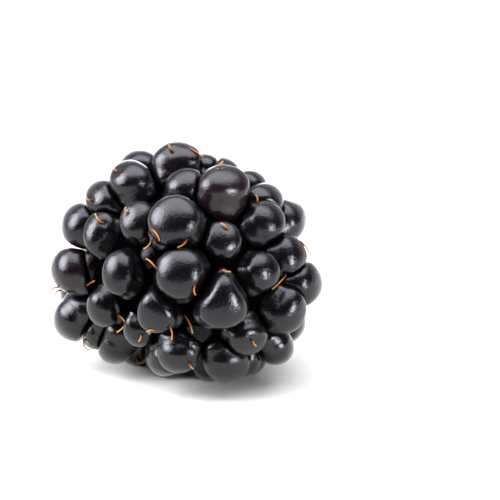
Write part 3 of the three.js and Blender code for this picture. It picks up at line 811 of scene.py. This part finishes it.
def object_noise(nodes, links, size_mm, detail):
    """A noise texture whose features are size_mm across on the object."""
    place = nodes.new("ShaderNodeTexCoord")
    texture = nodes.new("ShaderNodeTexNoise")
    texture.inputs["Scale"].default_value = 1 / (size_mm * MM)
    texture.inputs["Detail"].default_value = detail
    links.new(place.outputs["Object"], texture.inputs["Vector"])
    return texture


def remap(nodes, links, source, low, high):
    """A 0 to 1 value mapped to low to high."""
    mapped = nodes.new("ShaderNodeMapRange")
    mapped.inputs["To Min"].default_value = low
    mapped.inputs["To Max"].default_value = high
    links.new(source, mapped.inputs["Value"])
    return mapped.outputs["Result"]


def mix_colours(nodes, links, share, first, second):
    """The first colour where share is 0 and the second where it is 1."""
    mix = nodes.new("ShaderNodeMix")
    mix.data_type = "RGBA"
    links.new(share, mix.inputs["Factor"])
    mix.inputs["A"].default_value = (*first, 1)
    mix.inputs["B"].default_value = (*second, 1)
    return mix.outputs["Result"]


def attribute_value(nodes, name):
    """The value that float_attribute gave each point."""
    attribute = nodes.new("ShaderNodeAttribute")
    attribute.attribute_name = name
    return attribute.outputs["Fac"]


def bumps(nodes, links, height, distance_mm, strength):
    """Normals of a relief that is distance_mm high."""
    bump = nodes.new("ShaderNodeBump")
    bump.inputs["Distance"].default_value = distance_mm * MM
    bump.inputs["Strength"].default_value = strength
    links.new(height, bump.inputs["Height"])
    return bump.outputs["Normal"]


def skin_material():
    """Thin glossy skin with a faint grain: nearly black, ruddy on a few drupelets, with painted shade on the
    low ones.
    """
    material, nodes, links, shader = new_material("drupelet_skin")
    black = (0.0016, 0.0016, 0.002)
    purple = (0.0062, 0.0026, 0.0038)
    colour = mix_colours(nodes, links, attribute_value(nodes, "ruddy"), black, purple)
    links.new(colour, shader.inputs["Base Color"])
    grain = object_noise(nodes, links, size_mm=0.22, detail=3).outputs["Fac"]
    links.new(remap(nodes, links, grain, low=0.02, high=0.34), shader.inputs["Roughness"])
    links.new(bumps(nodes, links, grain, distance_mm=0.05, strength=0.8), shader.inputs["Normal"])
    # Painted shade: the low drupelets are made to mirror less, mostly metallic on their near-black colour and
    # with a thinner coat, to stand in for the shade that their neighbours cast on them.
    low_painted_shade = attribute_value(nodes, "low")
    links.new(remap(nodes, links, low_painted_shade, low=0.8, high=0.3), shader.inputs["Coat Weight"])
    links.new(remap(nodes, links, low_painted_shade, low=0.0, high=0.8), shader.inputs["Metallic"])
    shader.inputs["IOR"].default_value = 1.33
    shader.inputs["Coat IOR"].default_value = 1.15
    shader.inputs["Coat Roughness"].default_value = 0.06
    return material


def core_material():
    """Painted shade: near black and without gloss, for the bottoms of the creases, where shade falls between
    the drupelets.
    """
    material, _, _, shader = new_material("crease_painted_shade")
    shader.inputs["Base Color"].default_value = (0.0005, 0.0004, 0.0004, 1)
    shader.inputs["Roughness"].default_value = 0.9
    shader.inputs["Specular IOR Level"].default_value = 0.0
    return material


def style_material():
    """Dry threads: red-brown at the root, orange along, paler at the tip."""
    material, nodes, links, shader = new_material("dry_style")
    along = attribute_value(nodes, "along")
    ramp = nodes.new("ShaderNodeValToRGB")
    root, tip = ramp.color_ramp.elements
    root.color = (0.085, 0.015, 0.005, 1)
    tip.color = (0.42, 0.2, 0.04, 1)
    root_ends_at = 0.35
    ramp.color_ramp.elements.new(root_ends_at).color = (0.32, 0.105, 0.012, 1)
    links.new(along, ramp.inputs["Fac"])
    links.new(ramp.outputs["Color"], shader.inputs["Base Color"])
    grain = object_noise(nodes, links, size_mm=0.08, detail=2).outputs["Fac"]
    links.new(remap(nodes, links, grain, low=0.35, high=0.6), shader.inputs["Roughness"])
    links.new(bumps(nodes, links, grain, distance_mm=0.02, strength=0.5), shader.inputs["Normal"])
    shader.inputs["Specular IOR Level"].default_value = 0.25
    return material


def pith_material():
    """Pale fibrous pith, greener in its hollows."""
    material, nodes, links, shader = new_material("receptacle_pith")
    green = (0.09, 0.1, 0.03)
    cream = (0.34, 0.29, 0.15)
    fibres = object_noise(nodes, links, size_mm=0.35, detail=4).outputs["Fac"]
    links.new(mix_colours(nodes, links, fibres, green, cream), shader.inputs["Base Color"])
    links.new(remap(nodes, links, fibres, low=0.6, high=0.85), shader.inputs["Roughness"])
    links.new(bumps(nodes, links, fibres, distance_mm=0.12, strength=0.8), shader.inputs["Normal"])
    return material


# ---- Floor, world and lamp ----

LIGHT_COLOUR = (0.97, 0.97, 1.08)
# Brightness in times white: of the surroundings as the camera sees them, and of the room round the glows.
SEEN_WHITE = 1.1
ROOM_GLOW = 0.05
# Broad soft glows of the surroundings. Each row: the direction across, up and back, the cosines to it where
# the glow starts and is full, its strength in times white, and how much of a direction's part across counts,
# which at 0.5 makes a glow twice as wide.
GLOWS = [
    (0.0, 0.0, -1.0, -0.1, 0.7, 1.2, 1.0),  # the backdrop
    (0.0, 0.4, -0.92, 0.88, 1.0, 5.5, 1.0),  # its bright part, which the drupelets' upper edges mirror
    (0.0, 0.93, 0.36, 0.8, 0.96, 8.0, 0.5),  # a broad light overhead
    (-0.85, 0.44, 0.27, 0.87, 1.02, 26.0, 1.0),  # a large light at the left
]


def make_floor():
    """A plain white floor in z = 0."""
    half = 2000.0
    corners = np.array([(-half, -half, 0), (half, -half, 0), (half, half, 0), (-half, half, 0)])
    material, _, _, shader = new_material("floor_white")
    shader.inputs["Base Color"].default_value = (0.53, 0.53, 0.485, 1)
    shader.inputs["Roughness"].default_value = 0.9
    shader.inputs["Specular IOR Level"].default_value = 0.0
    mesh_object("floor", corners - MIDDLE, [(0, 1, 2, 3)], material, smooth=False)


def make_lamp():
    """A small softbox low at the right."""
    distance = 400.0
    size = 120.0
    direction = unit(0.74 * ACROSS - 0.1 * UP + 0.66 * BACK)
    data = bpy.data.lights.new("right_softbox", "AREA")
    data.shape = "SQUARE"
    data.size = size * MM
    data.energy = 1.9
    data.color = LIGHT_COLOUR
    lamp = bpy.data.objects.new("right_softbox", data)
    bpy.context.scene.collection.objects.link(lamp)
    place = Vector((MIDDLE + distance * direction) * MM)
    lamp.matrix_world = facing(place, Vector(-direction))


def narrowed(nodes, links, direction, share):
    """A direction with its part across scaled by share."""
    across = nodes.new("ShaderNodeVectorMath")
    across.operation = "DOT_PRODUCT"
    across.inputs[1].default_value = ACROSS
    links.new(direction, across.inputs[0])
    moved = nodes.new("ShaderNodeVectorMath")
    moved.operation = "MULTIPLY_ADD"
    moved.inputs[1].default_value = ACROSS * (share - 1)
    links.new(across.outputs["Value"], moved.inputs[0])
    links.new(direction, moved.inputs[2])
    made = nodes.new("ShaderNodeVectorMath")
    made.operation = "NORMALIZE"
    links.new(moved.outputs["Vector"], made.inputs[0])
    return made.outputs["Vector"]


def glow(nodes, links, place, across, up, back, start, full, strength, share):
    """A smooth glow round a direction."""
    cosine = nodes.new("ShaderNodeVectorMath")
    cosine.operation = "DOT_PRODUCT"
    cosine.inputs[1].default_value = unit(across * ACROSS + up * UP + back * BACK)
    links.new(narrowed(nodes, links, place.outputs["Generated"], share), cosine.inputs[0])
    ramp = nodes.new("ShaderNodeMapRange")
    ramp.interpolation_type = "SMOOTHSTEP"
    ramp.inputs["From Min"].default_value = start
    ramp.inputs["From Max"].default_value = full
    ramp.inputs["To Max"].default_value = strength
    links.new(cosine.outputs["Value"], ramp.inputs["Value"])
    return ramp.outputs["Result"]


def make_world():
    """White to the camera, and to the fruit a dark room with the glows in it."""
    world = bpy.data.worlds.new("world")
    bpy.context.scene.world = world
    world.use_nodes = True
    nodes = world.node_tree.nodes
    links = world.node_tree.links
    place = nodes.new("ShaderNodeTexCoord")
    total = None
    for row in GLOWS:
        add = nodes.new("ShaderNodeMath")
        add.operation = "ADD"
        links.new(glow(nodes, links, place, *row), add.inputs[0])
        if total is None:
            add.inputs[1].default_value = ROOM_GLOW
        else:
            links.new(total, add.inputs[1])
        total = add.outputs["Value"]
    rays = nodes.new("ShaderNodeLightPath")
    seen = nodes.new("ShaderNodeMix")
    links.new(rays.outputs["Is Camera Ray"], seen.inputs["Factor"])
    links.new(total, seen.inputs["A"])
    seen.inputs["B"].default_value = SEEN_WHITE
    background = nodes["Background"]
    background.inputs["Color"].default_value = (*LIGHT_COLOUR, 1)
    links.new(seen.outputs["Result"], background.inputs["Strength"])


# ---- The scene ----

make_camera()
drupelets = grown_drupelets()
styles = drawn_styles(drupelets) + hidden_styles(drupelets)
make_core(core_material())
make_drupelets(drupelets, styles, skin_material())
make_styles(styles, style_material())
make_receptacle(pith_material())
make_floor()
make_world()
make_lamp()
bpy.context.scene.view_settings.view_transform = "Standard"
